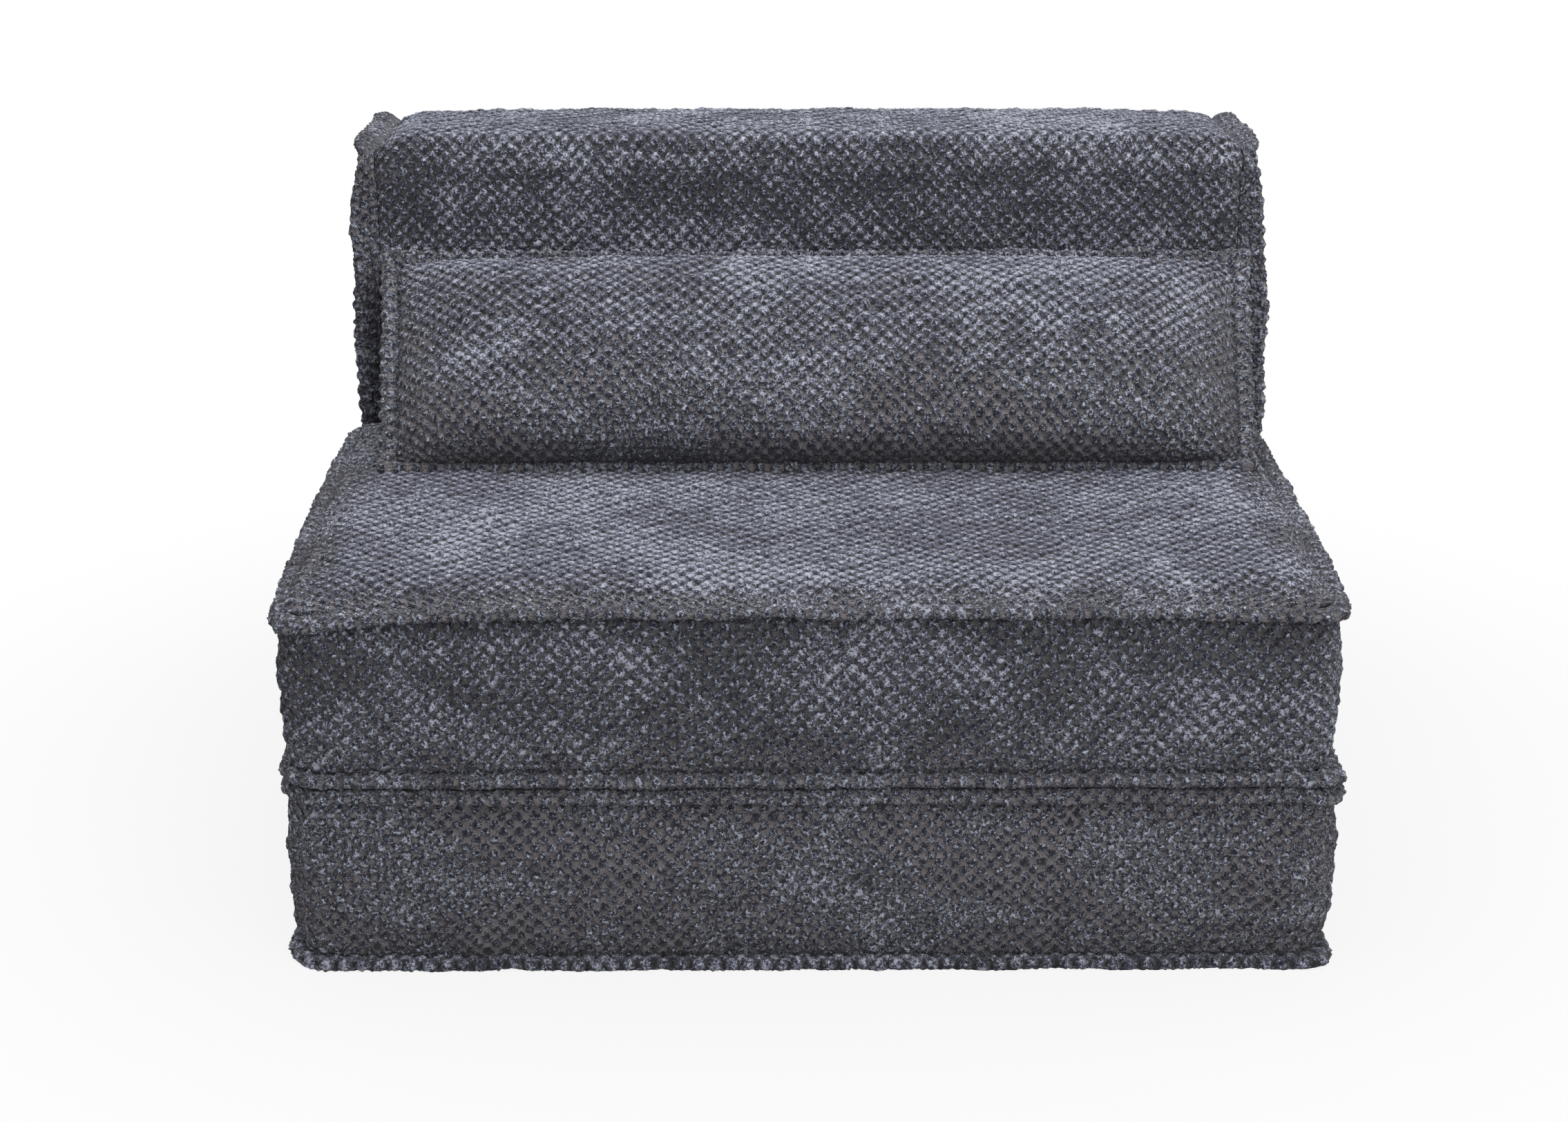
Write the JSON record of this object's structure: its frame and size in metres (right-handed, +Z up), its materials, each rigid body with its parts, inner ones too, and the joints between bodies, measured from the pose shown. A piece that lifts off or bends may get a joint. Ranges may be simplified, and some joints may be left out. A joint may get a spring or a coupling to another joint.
{
  "type": "fold-out foam chair",
  "caption": "Armless fold-out foam chair: stacked foam blocks with flanged seams, a box backrest and a loose lumbar pillow; the top block flips forward on a cloth hinge to make a bed.",
  "frame": {"origin": "on the floor, under the middle of the base block", "axes": "+Z up, +Y towards the chair's back, +X to the right of someone facing the chair"},
  "size_m": [1.006, 0.9188, 0.662],
  "materials": {
    "tufted_chenille": "deep tufted pile",
    "woven_lining": "plain weave",
    "polyurethane_foam": "open-cell foam",
    "polyester_wadding": "lofted fibre",
    "polyester_tape": "woven tape",
    "zinc_zip": "nickel-grey lacquer"
  },
  "bodies": {
    "base": {"base_foam_core": "polyurethane_foam", "base_wadding": "polyester_wadding", "base_top_panel": "tufted_chenille", "base_boxing": "tufted_chenille", "base_bottom_panel": "woven_lining", "base_top_flange": "tufted_chenille", "base_bottom_flange": "tufted_chenille", "base_zip_tape": "polyester_tape", "base_front_loop_tape": "polyester_tape", "base_rear_loop_tape": "polyester_tape", "hinge_strip": "polyester_tape", "backrest_foam_core": "polyurethane_foam", "backrest_wadding": "polyester_wadding", "backrest_wrap_panel": "tufted_chenille", "backrest_left_panel": "tufted_chenille", "backrest_right_panel": "tufted_chenille", "backrest_bottom_panel": "woven_lining", "backrest_left_flange": "tufted_chenille", "backrest_right_flange": "tufted_chenille", "backrest_zip_tape": "polyester_tape", "backrest_front_hook_tape": "polyester_tape", "backrest_rear_hook_tape": "polyester_tape"},
    "seat_block": {"seat_foam_core": "polyurethane_foam", "seat_wadding": "polyester_wadding", "seat_top_panel": "tufted_chenille", "seat_boxing": "tufted_chenille", "seat_bottom_panel": "tufted_chenille", "seat_top_flange": "tufted_chenille", "seat_bottom_flange": "tufted_chenille", "seat_zip_tape": "polyester_tape"},
    "pillow": {"pillow_filling": "polyester_wadding", "pillow_front_panel": "tufted_chenille", "pillow_back_panel": "tufted_chenille", "pillow_flange": "tufted_chenille"},
    "base_slider": {"base_zip_slider": "zinc_zip", "base_zip_pull": "zinc_zip"},
    "seat_slider": {"seat_zip_slider": "zinc_zip", "seat_zip_pull": "zinc_zip"},
    "backrest_slider": {"backrest_zip_slider": "zinc_zip", "backrest_zip_pull": "zinc_zip"}
  },
  "joints": [
    {"name": "seat_flip", "type": "hinge", "parent": "base", "child": "seat_block", "pos_m": [0, -0.46, 0.1905], "axis": [1, 0, 0], "range_deg": [0, 180], "deforming": ["hinge_strip"]},
    {"name": "pillow_lift", "type": "slide", "parent": "seat_block", "child": "pillow", "axis": [0, 0, 1], "range_m": [0, 0.25]},
    {"name": "base_zip_slide", "type": "slide", "parent": "base", "child": "base_slider", "axis": [-1, 0, 0], "range_m": [0, 0.83]},
    {"name": "seat_zip_slide", "type": "slide", "parent": "seat_block", "child": "seat_slider", "axis": [-1, 0, 0], "range_m": [0, 0.83]},
    {"name": "backrest_zip_slide", "type": "slide", "parent": "base", "child": "backrest_slider", "axis": [-1, 0, 0], "range_m": [0, 0.83]}
  ]
}
